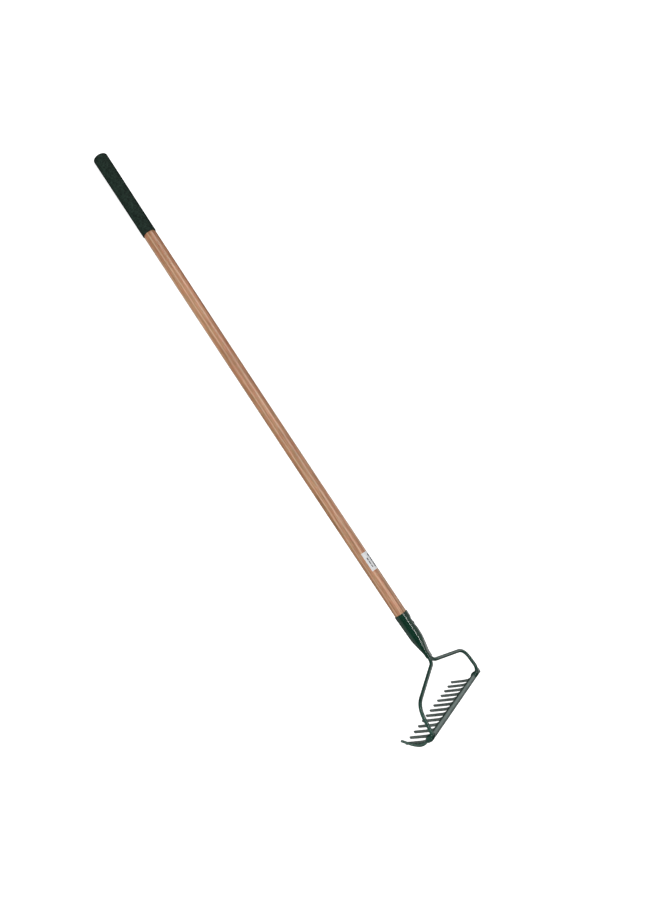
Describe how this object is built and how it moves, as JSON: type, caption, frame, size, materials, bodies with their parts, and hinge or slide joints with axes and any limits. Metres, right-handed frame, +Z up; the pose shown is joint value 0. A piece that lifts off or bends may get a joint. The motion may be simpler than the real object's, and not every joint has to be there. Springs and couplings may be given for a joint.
{
  "type": "bow rake",
  "caption": "Garden rake with a long tapering wooden handle, cushion grip, steel ferrule, a bow of two bent wires, and a straight head bar with a row of tines, one end tine curved.",
  "frame": {"origin": "middle of the footprint, on the ground that the grip's end and the tines' tips rest on", "axes": "+Y along the tool from the grip to the head, +Z up, tines down, +X across the head towards the curved end tine"},
  "size_m": [0.3608, 1.4408, 0.0728],
  "materials": {
    "lacquered_wood": "satin lacquer over lengthwise grain",
    "grip_foam": "matte closed-cell foam",
    "label_paper": "matte printed paper",
    "ferrule_enamel": "gloss enamel",
    "rivet_steel": "dull plated steel",
    "bow_enamel": "semi-gloss enamel",
    "bar_enamel": "semi-gloss enamel, thin on the flat face",
    "tine_enamel": "semi-gloss enamel, scuffed at the tips"
  },
  "bodies": {
    "root": {"handle": "lacquered_wood", "cushion_grip": "grip_foam", "handle_label": "label_paper", "ferrule": "ferrule_enamel", "ferrule_rivet": "rivet_steel", "bow_wire_left": "bow_enamel", "weld_pad_left": "bow_enamel", "bow_wire_right": "bow_enamel", "weld_pad_right": "bow_enamel", "head_bar": "bar_enamel", "tine_01": "tine_enamel", "tine_02": "tine_enamel", "tine_03": "tine_enamel", "tine_04": "tine_enamel", "tine_05": "tine_enamel", "tine_06": "tine_enamel", "tine_07": "tine_enamel", "tine_08": "tine_enamel", "tine_09": "tine_enamel", "tine_10": "tine_enamel", "tine_11": "tine_enamel", "tine_12": "tine_enamel", "tine_13": "tine_enamel", "curved_end_tine": "bow_enamel"}
  },
  "joints": []
}
